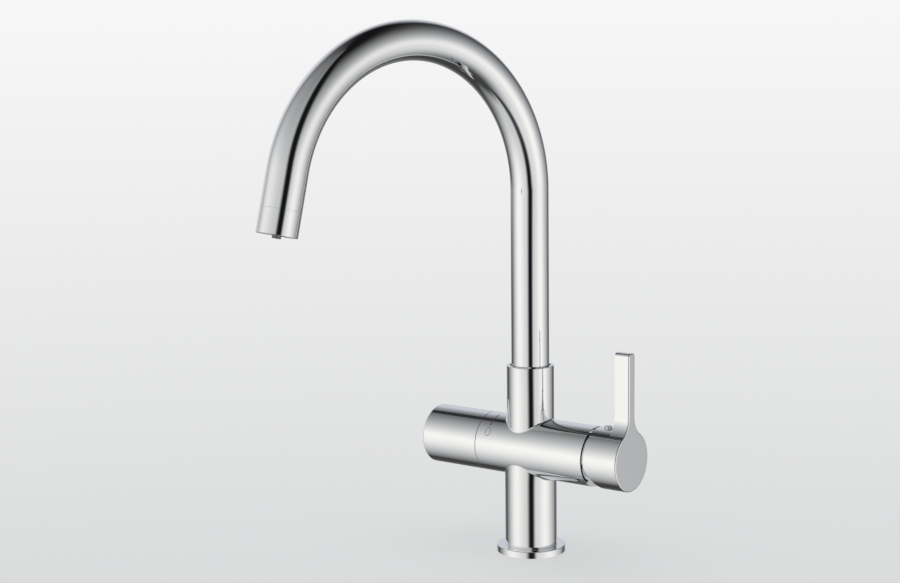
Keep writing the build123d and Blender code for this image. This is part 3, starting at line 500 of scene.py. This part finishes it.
@dataclass
class Casting(Assembly):
    """The column, barrel and collar, what sits in the collar, and the mark on the barrel."""

    barrel_height: float = 81.2 * MM
    barrel_radius: float = 22.6 * MM
    line_place: float = -26.4 * MM
    line_width: float = 0.85 * MM
    line_start: float = 45.0
    line_end: float = 80.0
    line_steps: int = 12
    drop_place: float = -26.4 * MM
    drop_angle: float = 28.3
    drop_radius: float = 2.5 * MM
    drop_tip: float = 3.4 * MM
    drop_line: float = 0.42 * MM
    drop_points: int = 48
    ink_thickness: float = 0.05 * MM

    def finishes(self) -> dict[Finish, list[str]]:
        """Returns the nodes that each finish goes on."""
        return {
            CHROME: ["main_body", "column_tube"],
            WHITE_PLASTIC: ["distributor"],
            DARK_PLASTIC: ["slide_ring"],
            GREY_PLASTIC: ["thrust_ring"],
            STEEL: ["spout_stop_screw"],
        }

    def build(self) -> None:
        """Dresses the nodes and prints the mark."""
        super().build()
        for piece, ink in ((self.index_line(), DARK_INK), (self.index_drop(), GREY_INK)):
            dress(piece, ink)
            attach(piece, "tap_body")

    def index_line(self) -> bpy.types.Object:
        """Makes the short line that runs round the barrel: a small face, spun about the barrel's axis.

        Returns:
            The line.
        """
        start = math.radians(self.line_start)
        out = Vector((0.0, -math.cos(start), math.sin(start)))
        axis = Vector((0.0, 0.0, self.barrel_height))
        centre = axis + out * self.barrel_radius + Vector((self.line_place, 0.0, 0.0))
        bpy.ops.object.select_all(action="DESELECT")
        bpy.ops.mesh.primitive_plane_add(size=1.0)
        line = named("index_line")
        round_barrel = Vector((0.0, math.sin(start), math.cos(start)))
        turn = Matrix((Vector((1.0, 0.0, 0.0)), out, round_barrel)).transposed().to_4x4()
        size = Matrix.Diagonal((self.line_width, 2 * self.ink_thickness, 1.0, 1.0))
        line.data.transform(Matrix.Translation(centre) @ turn @ size)
        bpy.ops.object.mode_set(mode="EDIT")
        bpy.ops.mesh.select_all(action="SELECT")
        bpy.ops.mesh.spin(steps=self.line_steps, angle=math.radians(self.line_end - self.line_start),
                          center=axis, axis=(1.0, 0.0, 0.0))
        close_up()
        return line

    def index_drop(self) -> bpy.types.Object:
        """Makes the outline of a drop: a round face drawn out to a tip, hollowed and laid on the barrel.

        Returns:
            The outline.
        """
        bpy.ops.object.select_all(action="DESELECT")
        bpy.ops.mesh.primitive_circle_add(vertices=self.drop_points, radius=self.drop_radius,
                                          fill_type="NGON")
        drop = named("index_drop")
        bpy.ops.object.mode_set(mode="EDIT")
        bpy.ops.mesh.select_mode(type="VERT")
        bpy.ops.mesh.select_all(action="DESELECT")
        bpy.ops.object.mode_set(mode="OBJECT")
        top = max(drop.data.vertices, key=lambda vertex: vertex.co.y)
        top.select = True
        bpy.ops.object.mode_set(mode="EDIT")
        bpy.ops.transform.translate(value=(0.0, self.drop_tip, 0.0), use_proportional_edit=True,
                                    proportional_edit_falloff="LINEAR",
                                    proportional_size=2 * self.drop_radius)
        bpy.ops.mesh.select_all(action="SELECT")
        bpy.ops.mesh.inset(thickness=self.drop_line)
        bpy.ops.mesh.delete(type="FACE")
        bpy.ops.object.mode_set(mode="OBJECT")
        tilt = math.radians(self.drop_angle)
        stand = Matrix.Rotation(math.pi / 2 - tilt, 4, "X")
        out = Vector((0.0, -math.cos(tilt), math.sin(tilt))) * (self.barrel_radius + self.drop_radius)
        place = Matrix.Translation(out + Vector((self.drop_place, 0.0, self.barrel_height)))
        drop.data.transform(place @ stand)
        wrap = drop.modifiers.new("lay_on_barrel", "SHRINKWRAP")
        wrap.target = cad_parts["main_body"]
        wrap.wrap_method = "NEAREST_SURFACEPOINT"
        wrap.wrap_mode = "ABOVE_SURFACE"
        wrap.offset = self.ink_thickness / 2
        bpy.ops.object.modifier_apply(modifier=wrap.name)
        film = drop.modifiers.new("film", "SOLIDIFY")
        film.thickness = self.ink_thickness
        film.offset = 0.0
        bpy.ops.object.modifier_apply(modifier=film.name)
        bpy.ops.object.mode_set(mode="EDIT")
        close_up()
        return drop


@dataclass
class Spout(Assembly):
    """The swan-neck tube, its turned foot, and the outlet with its insert and nozzle."""

    tube_radius: float = 14.3 * MM
    tube_wall: float = 1.2 * MM
    tube_sides: int = 128
    rise: float = 277.9 * MM
    bend_radius: float = 111.5 * MM
    bend_angle: float = 166.8
    bend_steps: int = 140
    last_run: float = 26.1 * MM
    turn: float = -12.1
    seam_gap: float = 0.1 * MM
    seam_depth: float = 0.1 * MM
    seam_wall: float = 0.8 * MM
    crease: float = 40.0

    def finishes(self) -> dict[Finish, list[str]]:
        """Returns the nodes that each finish goes on."""
        return {
            CHROME: ["outlet_sleeve"],
            BRASS: ["spout_spigot"],
            RUBBER: ["lower_spigot_seal", "upper_spigot_seal", "aerator_seal"],
            WHITE_PLASTIC: ["filter_line", "aerator"],
            NOZZLE_PAINTED_SHADE_STEEL: ["filter_nozzle"],
        }

    def build(self) -> None:
        """Dresses the nodes, bends the tube and puts a dark ring of painted shade in the seam at its end."""
        super().build()
        tube = self.bent_tube()
        # the seam ring is dark rubber put in the seam as painted shade, drawing the shadow line there
        for piece, finish in ((tube, CHROME), (self.seam_shade_ring(), RUBBER)):
            dress(piece, finish)
            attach(piece, "spout")
        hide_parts("spout_tube")

    def course(self) -> tuple[Vector, Vector, Vector]:
        """Returns the directions straight ahead, across and on out of the bend."""
        turn = Matrix.Rotation(math.radians(self.turn), 3, "Z")
        bend = math.radians(self.bend_angle)
        ahead = turn @ Vector((0.0, -1.0, 0.0))
        onward = ahead * math.sin(bend) + Vector((0.0, 0.0, math.cos(bend)))
        return ahead, turn @ Vector((1.0, 0.0, 0.0)), onward

    def start_ring(self, name: str, radius: float, place: Matrix) -> bpy.types.Object:
        """Adds a ring of edges and leaves it selected in edit mode.

        Args:
            name: the piece's name.
            radius: the ring's radius.
            place: where the ring goes.

        Returns:
            The new piece.
        """
        bpy.ops.object.select_all(action="DESELECT")
        bpy.ops.mesh.primitive_circle_add(vertices=self.tube_sides, radius=radius)
        piece = named(name)
        piece.data.transform(place)
        bpy.ops.object.mode_set(mode="EDIT")
        bpy.ops.mesh.select_mode(type="EDGE")
        bpy.ops.mesh.select_all(action="SELECT")
        return piece

    def wall_inwards(self, piece: bpy.types.Object, thickness: float) -> None:
        """Closes up a skin and gives it a wall.

        Args:
            piece: the skin, in edit mode.
            thickness: how far the wall goes in.
        """
        close_up()
        wall = piece.modifiers.new("wall", "SOLIDIFY")
        wall.thickness = thickness
        wall.offset = -1.0
        bpy.ops.object.modifier_apply(modifier=wall.name)
        bpy.ops.object.shade_smooth_by_angle(angle=math.radians(self.crease))

    def bent_tube(self) -> bpy.types.Object:
        """Makes the tube: a ring drawn up, spun round the bend, drawn on towards the sleeve and walled.

        Returns:
            The tube.
        """
        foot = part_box("spout_tube")[0][2]
        ahead, across, onward = self.course()
        turn = Matrix.Rotation(math.radians(self.turn), 4, "Z")
        tube = self.start_ring("bent_tube", self.tube_radius, Matrix.Translation((0.0, 0.0, foot)) @ turn)
        bpy.ops.mesh.extrude_edges_move(TRANSFORM_OT_translate={"value": (0.0, 0.0, self.rise - foot)})
        bpy.ops.mesh.spin(steps=self.bend_steps, angle=-math.radians(self.bend_angle), axis=across,
                          center=ahead * self.bend_radius + Vector((0.0, 0.0, self.rise)))
        bpy.ops.mesh.extrude_edges_move(TRANSFORM_OT_translate={"value": onward * self.last_run})
        self.wall_inwards(tube, self.tube_wall)
        return tube

    def seam_shade_ring(self) -> bpy.types.Object:
        """Makes a thin dark ring in the seam between the tube and the outlet's sleeve: painted shade,
        standing in for the shadow down the seam.

        Returns:
            The ring.
        """
        ahead, across, onward = self.course()
        turn = Matrix.Rotation(math.radians(self.bend_angle), 4, across)
        arm = ahead * self.bend_radius
        mouth = arm + Vector((0.0, 0.0, self.rise)) - turn.to_3x3() @ arm + onward * self.last_run
        place = Matrix.Translation(mouth) @ turn
        ring = self.start_ring("seam_shade_ring", self.tube_radius - self.seam_depth, place)
        bpy.ops.mesh.extrude_edges_move(TRANSFORM_OT_translate={"value": onward * self.seam_gap})
        self.wall_inwards(ring, self.seam_wall)
        return ring


@dataclass
class Mixer(Assembly):
    """The mixing lever, the dome under it and the ceramic cartridge."""

    def finishes(self) -> dict[Finish, list[str]]:
        """Returns the nodes that each finish goes on."""
        return {
            CHROME: ["lever_handle", "cartridge_dome"],
            BRASS: ["cartridge_nut"],
            STEEL: ["pivot_pin", "lever_stem", "lever_screw", "screw_plug"],
            RUBBER: ["port_seals"],
            GREY_PLASTIC: ["cartridge_housing", "cartridge_base"],
            WHITE_PLASTIC: ["disc_carrier", "mixer_rotor"],
            CERAMIC: ["mixer_fixed_disc", "mixer_moving_disc"],
        }


@dataclass
class FilterValve(Assembly):
    """The knob for filtered water and the quarter-turn valve behind it."""

    def finishes(self) -> dict[Finish, list[str]]:
        """Returns the nodes that each finish goes on."""
        return {
            CHROME: ["filter_knob"],
            BRASS: ["valve_headwork", "filter_spindle"],
            STEEL: ["knob_screw", "spindle_clip"],
            RUBBER: ["seat_seal", "inner_spindle_seal", "outer_spindle_seal"],
            CERAMIC: ["filter_fixed_disc", "filter_moving_disc"],
        }


@dataclass(frozen=True)
class SoftBox:
    """A tall lit cloth beside the camera, with the glow of the lamp behind it.

    Angles are in degrees, and bearings count from the camera. The cloth starts at inner, dims about outer
    and ends at edge, each at one bearing low down and at another higher up. It brightens upwards from foot
    to sill and dims from eaves to head.
    """

    side: Side
    cloth: float
    inner_low: float
    inner_high: float
    inner_blur: float
    outer_low: float
    outer_high: float
    outer_blur: float
    edge_low: float
    edge_high: float
    edge_blur: float
    foot: float
    sill: float
    eaves: float
    head: float
    glow: float
    glow_bearing: float
    glow_width: float
    glow_level: float
    glow_height: float
    lean_low: float = -9.0
    lean_high: float = 6.0

    def light(self, graph: Graph, bearing: Value, level: Value) -> Value:
        """Works out the brightness of this box in a direction.

        Args:
            graph: the world's nodes.
            bearing: degrees to the right of the camera, seen from the tap.
            level: degrees above the horizon.

        Returns:
            The brightness.
        """
        aside = bearing * float(self.side.value)
        lean = graph.step(level, self.lean_low, self.lean_high)
        inner = self.inner_low + lean * (self.inner_high - self.inner_low)
        outer = self.outer_low + lean * (self.outer_high - self.outer_low)
        edge = self.edge_low + lean * (self.edge_high - self.edge_low)
        across = graph.step(aside - inner, -self.inner_blur, self.inner_blur)
        across = across * (1 - graph.step(aside - outer, -self.outer_blur, self.outer_blur))
        across = across * (1 - graph.step(aside - edge, -self.edge_blur, self.edge_blur))
        upright = graph.step(level, self.foot, self.sill) * (1 - graph.step(level, self.eaves, self.head))
        sideways = (aside - self.glow_bearing) / self.glow_width
        upwards = (level - self.glow_level) / self.glow_height
        glow = graph.math("EXPONENT", 0 - (sideways * sideways + upwards * upwards))
        return across * (upright * self.cloth + glow * self.glow)


@dataclass
class Studio:
    """Camera, soft boxes, pale backdrop and pale floor.

    Each span says where a soft edge starts and ends.
    Plating is the share of light that the chrome gives back.
    """

    camera_place: Point = (762.95 * MM, -1085.77 * MM, 383.18 * MM)
    camera_turn: float = 37.705
    camera_dip: float = 7.811
    camera_roll: float = -0.627
    focal_pixels: float = 1771.05
    camera_near: float = 0.05
    plating: float = 0.87
    left: SoftBox = SoftBox(
        side=Side.LEFT, cloth=0.484, inner_low=12.0, inner_high=-1.1, inner_blur=8.5,
        outer_low=108.8, outer_high=123.1, outer_blur=52.4, edge_low=137.0, edge_high=175.0, edge_blur=8.0,
        foot=-82.9, sill=-62.8, eaves=0.5, head=123.9,
        glow=0.468, glow_bearing=83.7, glow_width=56.7, glow_level=-6.5, glow_height=33.2)
    right: SoftBox = SoftBox(
        side=Side.RIGHT, cloth=0.648, inner_low=15.0, inner_high=33.0, inner_blur=8.0,
        outer_low=124.5, outer_high=125.2, outer_blur=46.2, edge_low=136.0, edge_high=165.0, edge_blur=12.0,
        foot=-82.5, sill=-29.7, eaves=-25.2, head=76.8,
        glow=0.288, glow_bearing=65.1, glow_width=25.7, glow_level=-7.1, glow_height=17.7)
    cloth_tint: Colour = (0.99, 1.0, 1.01)
    glow_tint: Colour = (1.0, 0.990, 0.958)
    glow_from: Span = (0.45, 0.9)
    wall: float = 0.571
    wall_tint: Colour = (0.95, 0.97, 1.06)
    wall_left: Span = (118.0, 146.0)
    wall_right: Span = (147.0, 169.0)
    wall_foot: Span = (-9.0, 2.0)
    wall_head: Span = (23.7, 57.6)
    haze: float = 0.18
    haze_edge: Span = (132.0, 157.0)
    haze_foot: Span = (-48.0, -16.0)
    ground: float = 0.04
    ground_edge: Span = (-46.0, -10.0)
    dark: float = 0.007
    sky_top: Colour = (0.930, 0.930, 0.930)
    sky_bottom: Colour = (0.694, 0.701, 0.708)
    sky_rise: Span = (-0.2949, 0.0267)
    floor_radius: float = 0.5
    floor_full: float = 0.18
    floor_gone: float = 0.44
    floor_cover: float = 0.22
    floor_colour: Colour = (0.80, 0.805, 0.81)
    floor_shade: Colour = (0.785, 0.79, 0.795)
    floor_drop: float = 0.05 * MM
    floor_sides: int = 96
    mottle_scale: float = 30.0
    mottle_detail: float = 5.0
    grain_scale: float = 900.0
    grain_detail: float = 2.0
    grain_strength: float = 0.1
    grain_depth: float = 0.1 * MM
    floor_gloss: float = 0.85
    floor_dull: float = 0.95
    lamp_height: float = 2.5
    lamp_size: float = 4.0
    lamp_power: float = 69.0
    flag_low: Point = (-0.36, 0.011, 0.40)
    flag_high: Point = (-0.06, 0.105, 0.40)

    def build(self) -> None:
        """Sets up everything around the tap."""
        self.camera()
        self.world()
        self.floor()
        self.lamp()
        self.flag()
        bpy.context.scene.view_settings.view_transform = "Standard"

    def camera(self) -> None:
        """Puts the camera where the photograph was taken from."""
        data = bpy.data.cameras.new("camera")
        data.sensor_fit = "HORIZONTAL"
        data.sensor_width = SENSOR_WIDTH
        data.lens = self.focal_pixels * SENSOR_WIDTH / PICTURE_WIDTH
        data.clip_start = self.camera_near
        stand = bpy.data.objects.new("camera", data)
        bpy.context.scene.collection.objects.link(stand)
        turn = Matrix.Rotation(math.radians(self.camera_turn), 4, "Z")
        dip = Matrix.Rotation(math.radians(90.0 - self.camera_dip), 4, "X")
        roll = Matrix.Rotation(math.radians(self.camera_roll), 4, "Z")
        stand.matrix_world = Matrix.Translation(self.camera_place) @ turn @ dip @ roll
        bpy.context.scene.camera = stand

    def world(self) -> None:
        """Builds the world: the camera sees a pale backdrop, and the tap a room with soft boxes."""
        world = bpy.data.worlds.new("studio")
        world.use_nodes = True
        bpy.context.scene.world = world
        graph = Graph(world.node_tree)
        aim = graph.node("ShaderNodeTexCoord").outputs["Generated"]
        rise = graph.dot(aim, (0.0, 0.0, 1.0))
        room = self.room(graph, aim, rise)
        sky = self.backdrop(graph, rise)
        seen = graph.node("ShaderNodeLightPath").outputs["Is Camera Ray"]
        both = graph.node("ShaderNodeMixShader", None, {0: seen, 1: room, 2: sky})
        graph.node("ShaderNodeOutputWorld", None, {"Surface": both.outputs[0]})

    def room(self, graph: Graph, aim: bpy.types.NodeSocket, rise: Value) -> bpy.types.NodeSocket:
        """Builds what lights the tap and shows in its chrome: soft boxes, a wall behind, haze and ground.

        Args:
            graph: the world's nodes.
            aim: the direction looked in.
            rise: how far that direction points up, from -1 to 1.

        Returns:
            The room's shader.
        """
        toward = Vector((self.camera_place[0], self.camera_place[1], 0.0)).normalized()
        rightward = Vector((-toward.y, toward.x, 0.0))
        bearing = graph.math("ARCTAN2", graph.dot(aim, rightward), graph.dot(aim, toward)) * DEGREES
        level = graph.math("ARCSINE", rise) * DEGREES
        boxes = self.left.light(graph, bearing, level) + self.right.light(graph, bearing, level)
        boxes = boxes + self.dark + (1 - graph.step(level, *self.ground_edge)) * self.ground
        haze = graph.step(abs(bearing), *self.haze_edge) * graph.step(level, *self.haze_foot)
        boxes = boxes + haze * (1 - graph.step(level, *self.wall_foot)) * self.haze
        wall = graph.step(0 - bearing, *self.wall_left) + graph.step(bearing, *self.wall_right)
        wall = wall * graph.step(level, *self.wall_foot)
        wall = wall * (1 - graph.step(level, *self.wall_head)) * self.wall
        tint = graph.mix(graph.step(boxes, *self.glow_from), self.cloth_tint, self.glow_tint)
        lit = graph.node("ShaderNodeBackground", None, {0: tint, 1: boxes / self.plating})
        tinted = graph.node("ShaderNodeBackground", None, {0: self.wall_tint, 1: wall / self.plating})
        return graph.node("ShaderNodeAddShader", None, {0: lit.outputs[0], 1: tinted.outputs[0]}).outputs[0]

    def backdrop(self, graph: Graph, rise: Value) -> bpy.types.NodeSocket:
        """Builds the pale backdrop, which brightens upwards.

        Args:
            graph: the world's nodes.
            rise: how far the direction looked in points up, from -1 to 1.

        Returns:
            The backdrop's shader.
        """
        low, high = self.sky_rise
        fade = graph.value("ShaderNodeMapRange", 0, None, {0: rise, 1: low, 2: high, 3: 0.0, 4: 1.0})
        colour = graph.mix(fade, self.sky_bottom, self.sky_top)
        return graph.node("ShaderNodeBackground", None, {0: colour, 1: 1.0}).outputs[0]

    def floor(self) -> None:
        """Lays a pale round floor that fades out into the backdrop."""
        bpy.ops.object.select_all(action="DESELECT")
        bpy.ops.mesh.primitive_circle_add(vertices=self.floor_sides, radius=self.floor_radius,
                                          fill_type="NGON")
        floor = named("floor")
        floor.data.transform(Matrix.Translation((0.0, 0.0, -self.floor_drop)))
        made = bpy.data.materials.new("pale_floor")
        made.use_nodes = True
        graph = Graph(made.node_tree)
        spot = graph.place()
        mottle = graph.noise(spot, self.mottle_scale, self.mottle_detail)
        grain = graph.noise(spot, self.grain_scale, self.grain_detail)
        shader = graph.node("ShaderNodeBsdfPrincipled", None, {
            "Base Color": graph.mix(mottle, self.floor_colour, self.floor_shade),
            "Roughness": self.floor_gloss + grain * (self.floor_dull - self.floor_gloss),
            "Specular IOR Level": 0.0,
            "Normal": graph.bump(grain, self.grain_strength, self.grain_depth),
        })
        reach = graph.value("ShaderNodeVectorMath", "Value", {"operation": "LENGTH"}, {0: spot})
        clear = graph.node("ShaderNodeBsdfTransparent")
        share = (1 - graph.step(reach, self.floor_full, self.floor_gone)) * self.floor_cover
        both = graph.node("ShaderNodeMixShader", None, {0: share, 1: clear.outputs[0], 2: shader.outputs[0]})
        graph.node("ShaderNodeOutputMaterial", None, {"Surface": both.outputs[0]})
        floor.data.materials.append(made)
        floor.visible_glossy = False

    def lamp(self) -> None:
        """Hangs a broad lamp over the tap for the floor and the matt pieces."""
        data = bpy.data.lights.new("ceiling_lamp", "AREA")
        data.shape = "DISK"
        data.size = self.lamp_size
        data.energy = self.lamp_power
        lamp = bpy.data.objects.new("ceiling_lamp", data)
        lamp.location = (0.0, 0.0, self.lamp_height)
        lamp.visible_glossy = False
        bpy.context.scene.collection.objects.link(lamp)

    def flag(self) -> None:
        """Hangs a black card above and behind the barrel, which draws the dark line along its top."""
        low, high = Vector(self.flag_low), Vector(self.flag_high)
        bpy.ops.object.select_all(action="DESELECT")
        bpy.ops.mesh.primitive_plane_add(size=1.0)
        flag = named("black_card")
        size = Matrix.Diagonal((*(high - low).xy, 1.0, 1.0))
        flag.data.transform(Matrix.Translation((low + high) / 2) @ size)
        dress(flag, RUBBER)
        flag.visible_camera = False
        flag.visible_diffuse = False
        flag.visible_shadow = False


def main() -> None:
    """Builds the studio and dresses the sub-assemblies in order."""
    logging.basicConfig(level=logging.INFO, format="%(message)s")
    Studio().build()
    for assembly in (Foot(), Casting(), Spout(), Mixer(), FilterValve()):
        LOG.info("%s", type(assembly).__name__)
        assembly.build()


if __name__ == "__main__":
    main()
